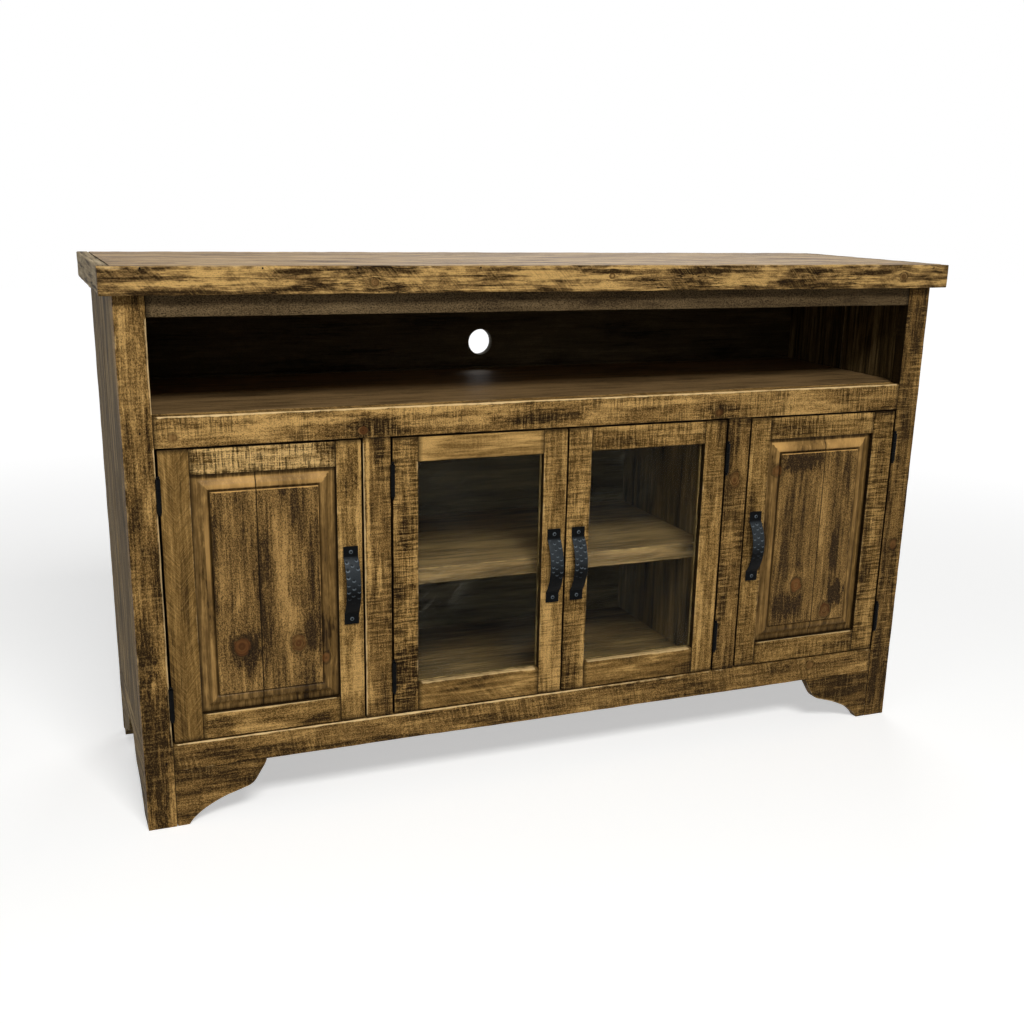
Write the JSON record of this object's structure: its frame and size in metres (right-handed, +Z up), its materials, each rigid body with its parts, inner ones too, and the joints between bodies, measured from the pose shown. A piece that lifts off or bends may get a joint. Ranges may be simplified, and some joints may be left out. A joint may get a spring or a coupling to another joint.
{
  "type": "tv stand",
  "caption": "Rustic pine media cabinet with an open bay, panelled side doors, a pair of glazed doors, strap pulls and bracket feet.",
  "frame": {"origin": "on the floor, under the middle of the cabinet's bounding box", "axes": "+X to the right seen from the front, +Y from the front to the back, +Z up"},
  "size_m": [1.524, 0.457, 0.914],
  "materials": {
    "frame_pine": "rough-sawn pine, tobacco stain rubbed back to gold, dark glaze, satin wax",
    "door_pine": "rough-sawn pine door frame, tobacco stain with worn golden edges, satin wax",
    "panel_pine": "knotty glued pine panel, dark glaze over golden brown stain, smooth moulded edge",
    "top_pine": "smooth planed pine planks, brown stain, satin lacquer with a soft sheen",
    "side_pine": "straight-grained pine boards, brown stain, satin lacquer",
    "dark_pine": "pine with a heavy dark glaze, satin",
    "inside_pine": "brown stained pine, low sheen",
    "black_iron": "black wrought iron, hammer dimples on the pulls, satin",
    "clear_glass": "clear float glass, polished"
  },
  "bodies": {
    "root": {"top_panel": "top_pine", "top_edge_front": "frame_pine", "top_edge_left": "side_pine", "top_edge_right": "side_pine", "stile_left": "frame_pine", "stile_right": "frame_pine", "centre_post_left": "frame_pine", "centre_post_right": "frame_pine", "rail_top": "dark_pine", "rail_middle": "frame_pine", "rail_bottom": "frame_pine", "foot_bracket_left": "dark_pine", "foot_bracket_right": "dark_pine", "side_panel_left": "side_pine", "side_panel_right": "side_pine", "bay_shelf": "inside_pine", "bottom_shelf": "inside_pine", "centre_shelf": "inside_pine", "back_panel": "inside_pine", "door_left_lower_hinge_pin_leaf": "black_iron", "door_left_upper_hinge_pin_leaf": "black_iron", "glass_door_left_lower_hinge_pin_leaf": "black_iron", "glass_door_left_upper_hinge_pin_leaf": "black_iron", "glass_door_right_lower_hinge_pin_leaf": "black_iron", "glass_door_right_upper_hinge_pin_leaf": "black_iron", "door_right_lower_hinge_pin_leaf": "black_iron", "door_right_upper_hinge_pin_leaf": "black_iron"},
    "door_left": {"door_left_hinge_stile": "door_pine", "door_left_latch_stile": "door_pine", "door_left_top_rail": "door_pine", "door_left_bottom_rail": "door_pine", "door_left_panel": "panel_pine", "door_left_pull": "black_iron", "door_left_lower_hinge_leaf": "black_iron", "door_left_upper_hinge_leaf": "black_iron"},
    "glass_door_left": {"glass_door_left_hinge_stile": "door_pine", "glass_door_left_latch_stile": "door_pine", "glass_door_left_top_rail": "door_pine", "glass_door_left_bottom_rail": "door_pine", "glass_door_left_glass": "clear_glass", "glass_door_left_pull": "black_iron", "glass_door_left_lower_hinge_leaf": "black_iron", "glass_door_left_upper_hinge_leaf": "black_iron"},
    "glass_door_right": {"glass_door_right_hinge_stile": "door_pine", "glass_door_right_latch_stile": "door_pine", "glass_door_right_top_rail": "door_pine", "glass_door_right_bottom_rail": "door_pine", "glass_door_right_glass": "clear_glass", "glass_door_right_pull": "black_iron", "glass_door_right_lower_hinge_leaf": "black_iron", "glass_door_right_upper_hinge_leaf": "black_iron"},
    "door_right": {"door_right_hinge_stile": "door_pine", "door_right_latch_stile": "door_pine", "door_right_top_rail": "door_pine", "door_right_bottom_rail": "door_pine", "door_right_panel": "panel_pine", "door_right_pull": "black_iron", "door_right_lower_hinge_leaf": "black_iron", "door_right_upper_hinge_leaf": "black_iron"}
  },
  "joints": [
    {"name": "door_left_hinge", "type": "hinge", "parent": "root", "child": "door_left", "pos_m": [-0.6938, -0.2108, 0.1505], "axis": [0, 0, -1], "range_deg": [0, 170]},
    {"name": "glass_door_left_hinge", "type": "hinge", "parent": "root", "child": "glass_door_left", "pos_m": [-0.3192, -0.2108, 0.1505], "axis": [0, 0, -1], "range_deg": [0, 150]},
    {"name": "glass_door_right_hinge", "type": "hinge", "parent": "root", "child": "glass_door_right", "pos_m": [0.3192, -0.2108, 0.1505], "axis": [0, 0, 1], "range_deg": [0, 150]},
    {"name": "door_right_hinge", "type": "hinge", "parent": "root", "child": "door_right", "pos_m": [0.6938, -0.2108, 0.1505], "axis": [0, 0, 1], "range_deg": [0, 170]}
  ]
}
